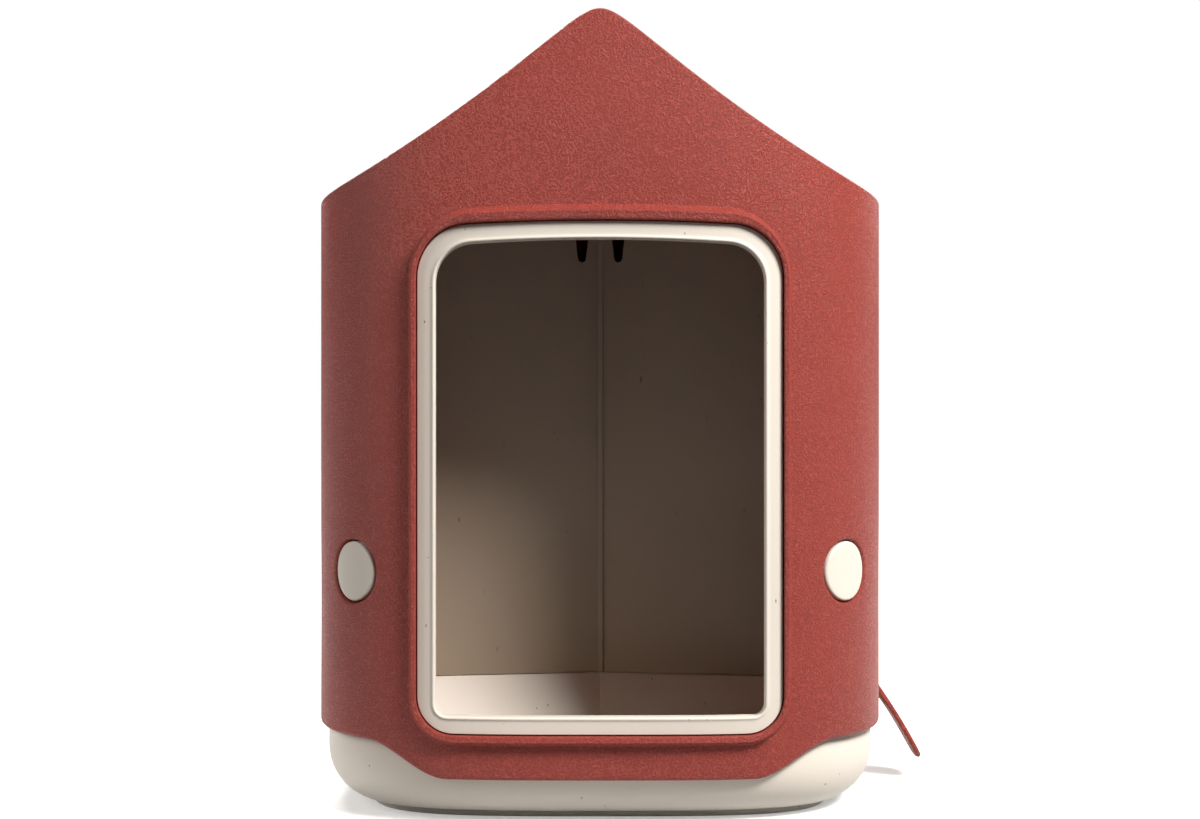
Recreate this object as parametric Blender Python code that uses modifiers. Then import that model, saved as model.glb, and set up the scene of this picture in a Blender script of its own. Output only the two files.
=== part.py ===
"""Bird house with a nest side and a feeder side under one moulded cover.

Metres, +Z up. The feeder side faces -Y and the nest side faces +Y.
The origin is the centre of the foot's underside.
"""
import math

import bmesh
import bpy
from mathutils import Vector

# Clearances and overruns
gap = 0.0003
cover_clearance = 0.0004
overrun = 0.0050
weld_distance = 0.00001

# Body plan and roof outline
body_half_width = 0.1067
body_half_depth = 0.1000
plan_exponent = 3.5
plan_steps = 72
roof_eaves_height = 0.2199
roof_half_span = 0.1028
roof_pitch_share = 0.447
roof_curve_share = 0.254
ridge_round = 0.0071
eaves_round = 0.0076
roof_steps = 36
roof_step_bias = 0.5

# Cover
cover_wall = 0.0026
hem_height = 0.0287
hem_dip_height = 0.0162
hem_dip_margin = 0.0133
hem_rise_margin = 0.0167
hem_steps = 6
rim_side_margin = 0.0394
rim_bottom = 0.0281
rim_top = 0.2159
rim_proud = 0.0030
rim_band = 0.0028
rim_low_radius = 0.0160
rim_high_radius = 0.0210
sill_band = 0.0039
head_band = 0.0045
collar_radius = 0.0365
collar_inner_radius = 0.03165
entrance_height = 0.1760
arc_steps = 5
round_steps = 36

# Pull tab
tab_root_height = 0.0375
tab_reach = 0.0193
tab_tip_height = 0.0082
tab_thickness = 0.0024
tab_flare = 0.0040
tab_depth = 0.0200
tab_corner_radius = 0.0060

# Inner housing
housing_wall = 0.0024
window_frame_band = 0.0096
window_frame_proud = 0.0010
entrance_plate_drop = 0.0015
window_bottom = 0.0385
window_top = 0.2060
window_arch = 0.0015
window_low_radius = 0.0040
window_high_radius = 0.0100
entrance_radius = 0.0160

# Partition and its rails
partition_thickness = 0.0025
partition_fold_share = 0.18
rib_half_width = 0.0010
rib_proud = 0.0010
slot_offset = 0.0072
slot_bottom = 0.2040
slot_top = 0.2220
slot_narrow = 0.0032
slot_wide = 0.0070
rail_web = 0.0015
rail_wall = 0.0016
rail_grip = 0.0050

# Seed ramp
ramp_top = 0.0410
ramp_wall = 0.0024
ramp_foot_margin = 0.0601

# Tray and foot
foot_thickness = 0.0020
foot_inset = 0.0191
tray_wall = 0.0024
tray_rim_height = 0.0300
tray_round_height = 0.0177
bowl_steps = 5

# Screws and their bosses
screw_side_margin = 0.0467
screw_front_margin = 0.0420
screw_radius = 0.0015
screw_head_radius = 0.0030
screw_head_depth = 0.0015
screw_recess = 0.0002
screw_length = 0.0075
screw_slot_width = 0.0008
screw_slot_depth = 0.0007
boss_radius = 0.0042
boss_cap = 0.0016
screw_steps = 12

# Buttons and sockets
button_height = 0.0878
button_hole_radius = 0.0113
button_radius = 0.01065
button_recess = 0.0002
button_cap_depth = 0.0058
button_travel = 0.0030
socket_wall = 0.0017
socket_floor = 0.0024
stem_radius = 0.0032
snap_radius = 0.0046
snap_depth = 0.0020

# Colours as sRGB shares of 255
cover_colour = (146, 62, 52)
inner_colour = (236, 228, 216)
screw_colour = (150, 150, 150)

# Sizes that follow from the ones above
plan_reach = max(body_half_width, body_half_depth) + rim_proud + overrun
rim_half_width = body_half_width - rim_side_margin
hem_dip_half_width = rim_half_width - hem_dip_margin
hem_rise_half_width = rim_half_width + hem_rise_margin
window_half_width = rim_half_width - window_frame_band
housing_inset = cover_wall + cover_clearance
housing_inner_inset = housing_inset + housing_wall
rail_inset = housing_inner_inset + gap
partition_inset = rail_inset + rail_web + gap
fold_stretch_share = math.hypot(1, partition_fold_share)
partition_half_thickness = partition_thickness * fold_stretch_share / 2
tray_inset = housing_inset
tray_bottom = foot_thickness + gap
tray_round_width = foot_inset - tray_inset
tray_round_centre = tray_bottom + tray_round_height
house_bottom = tray_rim_height + gap
partition_bottom = ramp_top + gap
socket_floor_depth = button_cap_depth + button_travel + gap
socket_back_depth = socket_floor_depth + socket_floor
socket_radius = button_hole_radius + socket_wall
stem_hole_radius = stem_radius + gap
screw_x = body_half_width - screw_side_margin
screw_y = body_half_depth - screw_front_margin
screw_tip = screw_recess + screw_head_depth + screw_length
boss_top = screw_tip + gap + boss_cap

parts = None
cutters = None


def clear_scene():
    for item in list(bpy.data.objects):
        bpy.data.objects.remove(item, do_unlink=True)


def new_collection(name):
    collection = bpy.data.collections.new(name)
    bpy.context.scene.collection.children.link(collection)
    return collection


def material(name, colour, roughness, metallic):
    shader = bpy.data.materials.new(name)
    shader.use_nodes = True
    node = shader.node_tree.nodes["Principled BSDF"]
    linear = [((value / 255 + 0.055) / 1.055) ** 2.4 for value in colour]
    node.inputs["Base Color"].default_value = (*linear, 1)
    node.inputs["Roughness"].default_value = roughness
    node.inputs["Metallic"].default_value = metallic
    return shader


def roof_height(x):
    """Roof surface: rounded ridge, slopes that ease outwards, and a soft turn to level."""
    run = roof_half_span - math.hypot(x, ridge_round)
    rise = run * (roof_pitch_share + roof_curve_share * run / roof_half_span)
    return roof_eaves_height + (rise + math.hypot(rise, eaves_round)) / 2


def roof_stretch(x):
    """How much longer the roof's thickness is upright than square to its slope."""
    slope = (roof_height(x + gap) - roof_height(x - gap)) / (2 * gap)
    return math.hypot(1, slope)


def plan_outline(inset):
    """Rounded-square plan of the body, moved inwards along its normals."""
    points = []
    for step in range(plan_steps):
        angle = math.tau * step / plan_steps
        across, along = math.cos(angle), math.sin(angle)
        total = abs(across / body_half_width) ** plan_exponent + abs(along / body_half_depth) ** plan_exponent
        x = across * total ** (-1 / plan_exponent)
        y = along * total ** (-1 / plan_exponent)
        normal = Vector((plan_slope(x, body_half_width), plan_slope(y, body_half_depth))).normalized()
        points.append((x - inset * normal.x, y - inset * normal.y))
    return points


def plan_slope(value, half_size):
    return math.copysign((abs(value) / half_size) ** (plan_exponent - 1) / half_size, value)


def rounded_outline(half_width, low, high, low_radius, high_radius, arch):
    """Upright rounded rectangle whose top edge may rise in a shallow arch."""
    corners = [
        (half_width - low_radius, low + low_radius, low_radius, -math.pi / 2),
        (half_width - high_radius, high - high_radius, high_radius, 0),
        (high_radius - half_width, high - high_radius, high_radius, math.pi / 2),
        (low_radius - half_width, low + low_radius, low_radius, math.pi),
    ]
    points = []
    for x, z, radius, start in corners:
        for step in range(arc_steps + 1):
            angle = start + math.pi / 2 * step / arc_steps
            points.append((x + radius * math.cos(angle), z + radius * math.sin(angle)))
        if arch and start == 0:
            top_half = half_width - high_radius
            points += [(top_half * (1 - 2 * step / arc_steps), high) for step in range(1, arc_steps)]
    middle = (low + high) / 2
    return [(x, z + arch * (1 - (x / half_width) ** 2) if z > middle else z) for x, z in points]


def circle_outline(radius, height):
    angles = [math.tau * step / round_steps for step in range(round_steps)]
    return [(radius * math.cos(angle), height + radius * math.sin(angle)) for angle in angles]


def outline_solid(name, points, thickness, collection):
    """Flat outline given a thickness, centred on its own plane."""
    curve = bpy.data.curves.new(name + "_outline", "CURVE")
    curve.dimensions = "2D"
    curve.fill_mode = "BOTH"
    curve.extrude = thickness / 2
    spline = curve.splines.new("POLY")
    spline.points.add(len(points) - 1)
    for point, (u, v) in zip(spline.points, points):
        point.co = (u, v, 0, 1)
    spline.use_cyclic_u = True
    guide = bpy.data.objects.new(name + "_outline", curve)
    collection.objects.link(guide)
    mesh = bpy.data.meshes.new_from_object(guide.evaluated_get(bpy.context.evaluated_depsgraph_get()))
    bpy.data.objects.remove(guide, do_unlink=True)
    return mesh_solid(name, mesh, collection)


def mesh_solid(name, mesh, collection):
    shape = bmesh.new()
    shape.from_mesh(mesh)
    bmesh.ops.remove_doubles(shape, verts=shape.verts, dist=weld_distance)
    bmesh.ops.recalc_face_normals(shape, faces=shape.faces)
    shape.to_mesh(mesh)
    shape.free()
    mesh.name = name
    solid = bpy.data.objects.new(name, mesh)
    collection.objects.link(solid)
    if collection is cutters:
        solid.hide_render = True
        solid.display_type = "WIRE"
    return solid


def level_solid(name, points, low, high, collection):
    """Plan outline standing from one height to another."""
    solid = outline_solid(name, points, high - low, collection)
    solid.location.z = (low + high) / 2
    return solid


def front_solid(name, points, near, far, collection):
    """Outline in X and Z that runs along Y."""
    solid = outline_solid(name, points, far - near, collection)
    solid.rotation_euler.x = math.pi / 2
    solid.location.y = (near + far) / 2
    return solid


def side_solid(name, points, left, right, collection):
    """Outline in Y and Z that runs along X."""
    solid = outline_solid(name, points, right - left, collection)
    solid.rotation_euler = (math.pi / 2, 0, math.pi / 2)
    solid.location.x = (left + right) / 2
    return solid


def turned_solid(name, profile, steps, collection, closed=False):
    """Profile in X and Z, listed down its outer side, turned about Z."""
    count = len(profile)
    edges = [(index, index + 1) for index in range(count - 1)]
    if closed:
        edges.append((count - 1, 0))
    mesh = bpy.data.meshes.new(name)
    mesh.from_pydata([(radius, 0, height) for radius, height in profile], edges, [])
    solid = bpy.data.objects.new(name, mesh)
    collection.objects.link(solid)
    turn = solid.modifiers.new("Turn", "SCREW")
    turn.steps = steps
    turn.render_steps = steps
    turn.use_merge_vertices = True
    turn.merge_threshold = weld_distance
    if collection is cutters:
        solid.hide_render = True
        solid.display_type = "WIRE"
    return solid


def loft_solid(name, rings, collection):
    """Skin over rings of matching points, closed at both ends."""
    shape = bmesh.new()
    rows = [[shape.verts.new(point) for point in ring] for ring in rings]
    for low, high in zip(rows, rows[1:]):
        for index, start in enumerate(low):
            follow = (index + 1) % len(low)
            shape.faces.new((start, low[follow], high[follow], high[index]))
    shape.faces.new(list(reversed(rows[0])))
    shape.faces.new(rows[-1])
    mesh = bpy.data.meshes.new(name)
    shape.to_mesh(mesh)
    shape.free()
    return mesh_solid(name, mesh, collection)


def combine(solid, other, operation):
    step = solid.modifiers.new(other.name, "BOOLEAN")
    step.operation = operation
    step.solver = "EXACT"
    step.object = other


def cut(solid, other):
    combine(solid, other, "DIFFERENCE")


def trim(solid, other):
    combine(solid, other, "INTERSECT")


def join(solid, other):
    combine(solid, other, "UNION")


def finish(solid, shader, parent):
    """Gives a part its material and its parent."""
    solid.data.materials.clear()
    solid.data.materials.append(shader)
    solid.parent = parent


def plan_block(name, inset, low, high):
    return level_solid(name, plan_outline(inset), low, high, cutters)


def roof_block(name, drop):
    """Everything under the roof surface, lowered square to its slopes."""
    points = [(-plan_reach, -overrun), (plan_reach, -overrun)]
    for step in range(roof_steps + 1):
        share = 1 - 2 * step / roof_steps
        x = plan_reach * share * (roof_step_bias + (1 - roof_step_bias) * abs(share))
        points.append((x, roof_height(x) - drop * roof_stretch(x)))
    return front_solid(name, points, -plan_reach, plan_reach, cutters)


def dip_outline():
    """Area over the cover's front hem where it dips below the rest."""
    rise = hem_height - hem_dip_height
    side = []
    for step in range(hem_steps + 1):
        share = step / hem_steps
        x = hem_dip_half_width + (hem_rise_half_width - hem_dip_half_width) * share
        side.append((x, hem_dip_height + rise * share * share * (3 - 2 * share)))
    right = side + [(hem_rise_half_width, hem_height + overrun)]
    left = [(-x, z) for x, z in reversed(right)]
    return right + left


def tab_outline():
    root = Vector((body_half_width, tab_root_height))
    tip = Vector((body_half_width + tab_reach, tab_tip_height))
    along = (tip - root).normalized()
    side = Vector((-along.y, along.x)) * tab_thickness / 2
    inside = body_half_width - cover_wall / 2
    tip_arc = []
    for step in range(arc_steps + 1):
        angle = math.pi * step / arc_steps
        tip_arc.append(tip + side * math.cos(angle) + along * math.sin(angle) * tab_thickness / 2)
    return [
        (inside, root.y + tab_flare),
        tuple(root + along * tab_flare + side),
        *(tuple(point) for point in tip_arc),
        tuple(root + along * tab_flare - side),
        (inside, root.y - tab_flare),
    ]


def bowl_rings(shrink, top):
    """Rings of the tray's outside, or of a shape that lies inside it by a wall."""
    rings = []
    for step in range(bowl_steps + 1):
        angle = math.pi / 2 * (step / bowl_steps - 1)
        inset = foot_inset - (tray_round_width - shrink) * math.cos(angle)
        height = tray_round_centre + (tray_round_height - shrink) * math.sin(angle)
        rings.append([(x, y, height) for x, y in plan_outline(inset)])
    rings.append([(x, y, top) for x, y in plan_outline(tray_inset + shrink)])
    return rings


def fold_outline(half_thickness, half_length, rib):
    """Partition's plan: two walls that lean to the feeder side from a fold in the middle."""
    lean = partition_fold_share * half_length
    back = [(-half_length, half_thickness - lean), (0, half_thickness), (half_length, half_thickness - lean)]
    front = [(half_length, -half_thickness - lean)]
    if rib:
        edge = -half_thickness - partition_fold_share * rib_half_width
        front += [(rib_half_width, edge), (rib_half_width, edge - rib_proud)]
        front += [(-rib_half_width, edge - rib_proud), (-rib_half_width, edge)]
    else:
        front.append((0, -half_thickness))
    front.append((-half_length, -half_thickness - lean))
    return back + front


def corner_place(right, back):
    """Point on the cover's corner where its outside faces halfway between X and Y."""
    power = plan_exponent / (plan_exponent - 1)
    ratio = (body_half_depth / body_half_width) ** power
    total = body_half_width ** -plan_exponent + (ratio / body_half_depth) ** plan_exponent
    x = total ** (-1 / plan_exponent)
    place = Vector((right * x, back * x * ratio, button_height))
    outward = Vector((right, back, 0)).normalized()
    return place, outward


def turn_to_corner(solid, right, back):
    """Puts a turned solid on the corner with its +Z pointing out of the house."""
    place, outward = corner_place(right, back)
    solid.location = place
    solid.rotation_euler = outward.to_track_quat("Z", "Y").to_euler()


def corner_name(right, back):
    return ("back" if back > 0 else "front") + ("_right" if right > 0 else "_left")


corners = [(right, back) for back in (-1, 1) for right in (-1, 1)]


def corner_drill(name, radius, right, back):
    """Round cutter along a button's axis."""
    reach = socket_back_depth + overrun
    profile = [(0, overrun), (radius, overrun), (radius, -reach), (0, -reach)]
    drill = turned_solid(name, profile, round_steps, cutters)
    turn_to_corner(drill, right, back)
    return drill


def pane_outline(play):
    """Inside of the cover's window rim, or an outline that lies within it."""
    return rounded_outline(
        rim_half_width - rim_band - play,
        rim_bottom + sill_band + play,
        rim_top - head_band - play,
        rim_low_radius - rim_band - play,
        rim_high_radius - head_band - play,
        0,
    )


def make_cover():
    ridge = roof_height(0) + overrun
    cover = level_solid("cover", plan_outline(0), hem_dip_height - overrun, ridge, parts)
    trim(cover, roof_block("cover_roof", 0))

    rim_limit = plan_block("rim_limit", -rim_proud, 0, ridge)
    rim_shape = rounded_outline(rim_half_width, rim_bottom, rim_top, rim_low_radius, rim_high_radius, 0)
    rim = front_solid("window_rim", rim_shape, -plan_reach, -body_half_depth / 2, cutters)
    trim(rim, rim_limit)
    join(cover, rim)
    collar_shape = circle_outline(collar_radius, entrance_height)
    collar = front_solid("entrance_collar", collar_shape, body_half_depth / 2, plan_reach, cutters)
    trim(collar, rim_limit)
    join(cover, collar)

    hollow = plan_block("cover_hollow", cover_wall, -overrun, ridge)
    trim(hollow, roof_block("cover_ceiling", cover_wall))
    cut(cover, hollow)
    under = [(-plan_reach, -overrun), (plan_reach, -overrun), (plan_reach, hem_height), (-plan_reach, hem_height)]
    hem = front_solid("hem", under, -plan_reach, plan_reach, cutters)
    cut(hem, front_solid("hem_dip", dip_outline(), -plan_reach - overrun, -body_half_depth / 2, cutters))
    cut(cover, hem)

    cut(cover, front_solid("rim_opening", pane_outline(0), -plan_reach, 0, cutters))
    entrance = circle_outline(collar_inner_radius, entrance_height)
    cut(cover, front_solid("collar_opening", entrance, 0, plan_reach, cutters))
    for right, back in corners:
        cut(cover, corner_drill("button_hole_" + corner_name(right, back), button_hole_radius, right, back))
    join(cover, make_tab())
    return cover


def make_tab():
    tab = front_solid("pull_tab", tab_outline(), -tab_depth / 2, tab_depth / 2, cutters)
    low = tab_tip_height - tab_thickness / 2
    high = tab_root_height + tab_flare + overrun
    tip = rounded_outline(tab_depth / 2, low, high, tab_corner_radius, tab_thickness, 0)
    trim(tab, side_solid("tab_tip", tip, 0, plan_reach + tab_reach, cutters))
    return tab


def make_housing():
    ridge = roof_height(0)
    housing = level_solid("inner_housing", plan_outline(housing_inset), house_bottom, ridge, parts)
    trim(housing, roof_block("housing_roof", housing_inset))
    frame = front_solid("window_frame", pane_outline(cover_clearance), -plan_reach, -body_half_depth / 2, cutters)
    trim(frame, plan_block("frame_limit", -window_frame_proud, 0, ridge))
    join(housing, frame)
    plate_shape = circle_outline(collar_inner_radius - cover_clearance, entrance_height)
    plate = front_solid("entrance_plate", plate_shape, body_half_depth / 2, plan_reach, cutters)
    trim(plate, plan_block("plate_limit", entrance_plate_drop, 0, ridge))
    join(housing, plate)
    cut(housing, plan_block("housing_hollow", housing_inner_inset, -overrun, ridge + overrun))
    window = rounded_outline(
        window_half_width, window_bottom, window_top, window_low_radius, window_high_radius, window_arch
    )
    cut(housing, front_solid("window", window, -plan_reach, 0, cutters))
    entrance = circle_outline(entrance_radius, entrance_height)
    cut(housing, front_solid("entrance", entrance, 0, plan_reach, cutters))
    for right, back in corners:
        cut(housing, corner_drill("socket_hole_" + corner_name(right, back), socket_radius + gap, right, back))
    return housing


def make_partition():
    ridge = roof_height(0)
    outline = fold_outline(partition_half_thickness, body_half_width, True)
    partition = level_solid("partition", outline, partition_bottom, ridge, parts)
    trim(partition, plan_block("partition_limit", partition_inset, 0, ridge + overrun))
    trim(partition, roof_block("partition_roof", housing_inset))
    for side in (-1, 1):
        cut(partition, front_solid("partition_slot", slot_outline(side), -plan_reach, plan_reach, cutters))
    return partition


def slot_outline(side):
    """Tapered slot, wide at its top and round at its foot."""
    middle = side * slot_offset
    radius = slot_narrow / 2
    points = []
    for step in range(arc_steps + 1):
        angle = math.pi * (step / arc_steps - 1)
        points.append((middle + radius * math.cos(angle), slot_bottom + radius + radius * math.sin(angle)))
    return points + [(middle + slot_wide / 2, slot_top), (middle - slot_wide / 2, slot_top)]


def make_rail(name, side):
    ridge = roof_height(0)
    half = partition_half_thickness + gap + rail_wall
    near = body_half_width - partition_inset - rail_grip
    far = body_half_width
    corner_points = [(near, -half), (far, -half), (far, half), (near, half)]
    outline = [(side * x, y - partition_fold_share * x) for x, y in corner_points]
    rail = level_solid(name, outline, partition_bottom, ridge, parts)
    trim(rail, plan_block("rail_limit", rail_inset, 0, ridge + overrun))
    trim(rail, roof_block("rail_roof", housing_inset))
    groove_outline = fold_outline(partition_half_thickness + gap, body_half_width, False)
    groove = level_solid("rail_groove", groove_outline, 0, ridge + overrun, cutters)
    trim(groove, plan_block("groove_limit", rail_inset + rail_web, -overrun, ridge + 2 * overrun))
    cut(rail, groove)
    return rail


def make_ramp():
    """Sheet that slopes from the partition's foot to the tray's floor, with an upright back."""
    bottom = -overrun
    half = partition_half_thickness
    drop = ramp_top - bottom
    run = body_half_depth - half - ramp_foot_margin
    sheet = ramp_wall * math.hypot(run, drop) / drop
    inner_back = half - ramp_wall
    inner_top = bottom + (run + half - sheet + inner_back) * drop / run
    profile = [
        (half, ramp_top),
        (-half, ramp_top),
        (-half - run, bottom),
        (-half - run + sheet, bottom),
        (inner_back, inner_top),
        (inner_back, bottom),
        (half, bottom),
    ]
    lean = partition_fold_share * body_half_width
    rings = [
        [(-body_half_width, y - lean, z) for y, z in profile],
        [(0, y, z) for y, z in profile],
        [(body_half_width, y - lean, z) for y, z in profile],
    ]
    ramp = loft_solid("seed_ramp", rings, parts)
    trim(ramp, loft_solid("ramp_limit", bowl_rings(tray_wall + gap, ramp_top + overrun), cutters))
    return ramp


def make_tray():
    tray = loft_solid("base_tray", bowl_rings(0, tray_rim_height), parts)
    cut(tray, loft_solid("tray_hollow", bowl_rings(tray_wall, tray_rim_height + overrun), cutters))
    for right, back in corners:
        place = (right * screw_x, back * screw_y)
        name = corner_name(right, back)
        outer = [(0, boss_top), (boss_radius, boss_top), (boss_radius, tray_bottom + tray_wall / 2)]
        outer.append((0, tray_bottom + tray_wall / 2))
        boss = turned_solid("boss_" + name, outer, screw_steps, cutters)
        boss.location = (*place, 0)
        join(tray, boss)
        bore_radius = screw_radius + gap
        bore_top = screw_tip + gap
        inner = [(0, bore_top), (bore_radius, bore_top), (bore_radius, -overrun), (0, -overrun)]
        bore = turned_solid("boss_bore_" + name, inner, screw_steps, cutters)
        bore.location = (*place, 0)
        cut(tray, bore)
    return tray


def make_foot():
    foot = level_solid("foot_plate", plan_outline(foot_inset), 0, foot_thickness, parts)
    spread = (screw_head_radius - screw_radius) / screw_head_depth
    for right, back in corners:
        head_low = screw_recess - overrun
        head_high = screw_recess + screw_head_depth
        seat = [
            (0, foot_thickness + overrun),
            (screw_radius + gap, foot_thickness + overrun),
            (screw_radius + gap, head_high),
            (screw_head_radius + gap + spread * screw_recess, 0),
            (screw_head_radius + gap + spread * screw_recess, head_low),
            (0, head_low),
        ]
        hole = turned_solid("foot_hole_" + corner_name(right, back), seat, screw_steps, cutters)
        hole.location = (right * screw_x, back * screw_y, 0)
        cut(foot, hole)
    return foot


def make_screw(right, back):
    """Countersunk screw, head down, with a straight slot."""
    shoulder = screw_recess + screw_head_depth
    profile = [
        (0, screw_tip),
        (screw_radius, screw_tip),
        (screw_radius, shoulder),
        (screw_head_radius, screw_recess),
        (0, screw_recess),
    ]
    name = "foot_screw_" + corner_name(right, back)
    screw = turned_solid(name, profile, screw_steps, parts)
    screw.location = (right * screw_x, back * screw_y, 0)
    half = screw_slot_width / 2
    long = screw_head_radius + overrun
    bar = [(-long, -half), (long, -half), (long, half), (-long, half)]
    slot = level_solid(name + "_slot", bar, -overrun, screw_recess + screw_slot_depth, cutters)
    slot.location.x = screw.location.x
    slot.location.y = screw.location.y
    cut(screw, slot)
    return screw


def make_socket(right, back):
    """Cup behind the cover that guides a button, with a hole for its stem."""
    profile = [
        (button_hole_radius, overrun),
        (socket_radius, overrun),
        (socket_radius, -socket_back_depth),
        (stem_hole_radius, -socket_back_depth),
        (stem_hole_radius, -socket_floor_depth),
        (button_hole_radius, -socket_floor_depth),
    ]
    socket = turned_solid("button_socket_" + corner_name(right, back), profile, round_steps, parts, closed=True)
    turn_to_corner(socket, right, back)
    trim(socket, plan_block("socket_limit", cover_wall + gap, 0, roof_eaves_height))
    return socket


def make_button(right, back):
    """Push button: cap, stem and the snap head that keeps it in its socket."""
    snap_top = socket_back_depth + gap
    profile = [
        (0, overrun),
        (button_radius, overrun),
        (button_radius, -button_cap_depth),
        (stem_radius, -button_cap_depth),
        (stem_radius, -snap_top),
        (snap_radius, -snap_top),
        (stem_radius, -snap_top - snap_depth),
        (0, -snap_top - snap_depth),
    ]
    button = turned_solid("button_" + corner_name(right, back), profile, round_steps, parts)
    turn_to_corner(button, right, back)
    trim(button, plan_block("button_face", button_recess, 0, roof_eaves_height))
    return button


def main():
    global parts, cutters
    clear_scene()
    parts = new_collection("birdhouse_feeder")
    cutters = new_collection("birdhouse_feeder_cutters")
    cover_plastic = material("cover_plastic", cover_colour, 0.6, 0)
    inner_plastic = material("inner_plastic", inner_colour, 0.45, 0)
    screw_steel = material("screw_steel", screw_colour, 0.35, 1)

    base = bpy.data.objects.new("base", None)
    house = bpy.data.objects.new("house", None)
    for empty in (base, house):
        parts.objects.link(empty)
    house.parent = base

    finish(make_cover(), cover_plastic, house)
    finish(make_housing(), inner_plastic, house)
    finish(make_partition(), inner_plastic, house)
    finish(make_rail("partition_rail_left", -1), inner_plastic, house)
    finish(make_rail("partition_rail_right", 1), inner_plastic, house)
    finish(make_ramp(), inner_plastic, base)
    finish(make_tray(), inner_plastic, base)
    finish(make_foot(), inner_plastic, base)
    for right, back in corners:
        finish(make_screw(right, back), screw_steel, base)
        finish(make_socket(right, back), inner_plastic, house)
        finish(make_button(right, back), inner_plastic, house)


main()
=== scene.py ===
"""Looks of the two-sided bird house: grained red cover over speckled off-white inner parts."""
import math

import bpy
from bpy.props import FloatProperty, FloatVectorProperty, PointerProperty
from bpy.types import Operator, Panel, PropertyGroup
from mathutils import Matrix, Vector


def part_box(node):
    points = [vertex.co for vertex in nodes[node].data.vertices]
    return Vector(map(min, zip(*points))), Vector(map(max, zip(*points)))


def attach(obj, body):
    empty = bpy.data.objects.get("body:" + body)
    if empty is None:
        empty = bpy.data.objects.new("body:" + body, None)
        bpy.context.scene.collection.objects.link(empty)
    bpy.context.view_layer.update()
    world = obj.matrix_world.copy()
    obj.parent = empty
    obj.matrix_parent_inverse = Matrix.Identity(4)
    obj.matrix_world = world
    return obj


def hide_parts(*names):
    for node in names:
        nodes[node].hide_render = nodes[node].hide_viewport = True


bl_info = {
    "name": "Birdhouse Feeder",
    "version": (1, 0, 0),
    "blender": (4, 5, 0),
    "location": "View3D > Sidebar > Birdhouse",
    "description": "Dresses the packed birdhouse feeder with finished pieces and materials",
    "category": "Object",
}

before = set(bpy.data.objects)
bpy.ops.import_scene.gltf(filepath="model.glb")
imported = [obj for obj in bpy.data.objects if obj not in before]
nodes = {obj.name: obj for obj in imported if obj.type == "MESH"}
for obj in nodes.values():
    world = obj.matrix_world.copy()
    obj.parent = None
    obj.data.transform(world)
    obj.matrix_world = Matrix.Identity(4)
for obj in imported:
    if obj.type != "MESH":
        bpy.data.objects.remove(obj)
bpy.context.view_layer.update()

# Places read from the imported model
cover_low, cover_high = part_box("cover")
housing_low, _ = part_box("inner_housing")
tray_low, tray_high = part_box("base_tray")
foot_low, foot_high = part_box("foot_plate")
half_width = -cover_low.x
housing_inset = half_width + housing_low.x
half_depth = half_width + tray_low.x - tray_low.y
foot_inset = half_width + foot_low.x
ridge_height = cover_high.z
rest_height = foot_low.z

# Plan and roof rules, the same as the solids'
plan_exponent = 3.5
eaves_height = 0.2199
roof_half_span = 0.1028
roof_pitch_share = 0.447
roof_curve_share = 0.254
ridge_round = 0.0071
eaves_round = 0.0076

# Fineness of the pieces
plan_columns = 384
circle_points = 96
round_steps = 6
lip_steps = 5
halvings = 40
weld_distance = 0.00001

# Photograph's frame
photo_width = 1200
photo_scale = 0.000348
sensor_width = 36
lamp_distance = 1.3
warm_light = (1.0, 0.975, 0.94)
fill_light = (1.0, 0.96, 0.91)

# Angles, in degrees, below which faces are shaded as one
crisp_angle = 30
tray_angle = 35
usual_angle = 40
lip_angle = 50
tab_angle = 60

finish_names = {
    "cover_plastic": "grained_red_plastic",
    "inner_plastic": "speckled_pale_plastic",
    # Darker, warmer copy of the off-white plastic that paints shade on the inside parts
    "inside": "speckled_painted_shade_plastic",
    "screw_steel": "turned_steel",
}
corners = [(right, back) for back in (-1, 1) for right in (-1, 1)]


def corner_name(right, back):
    return ("back" if back > 0 else "front") + ("_right" if right > 0 else "_left")


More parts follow.
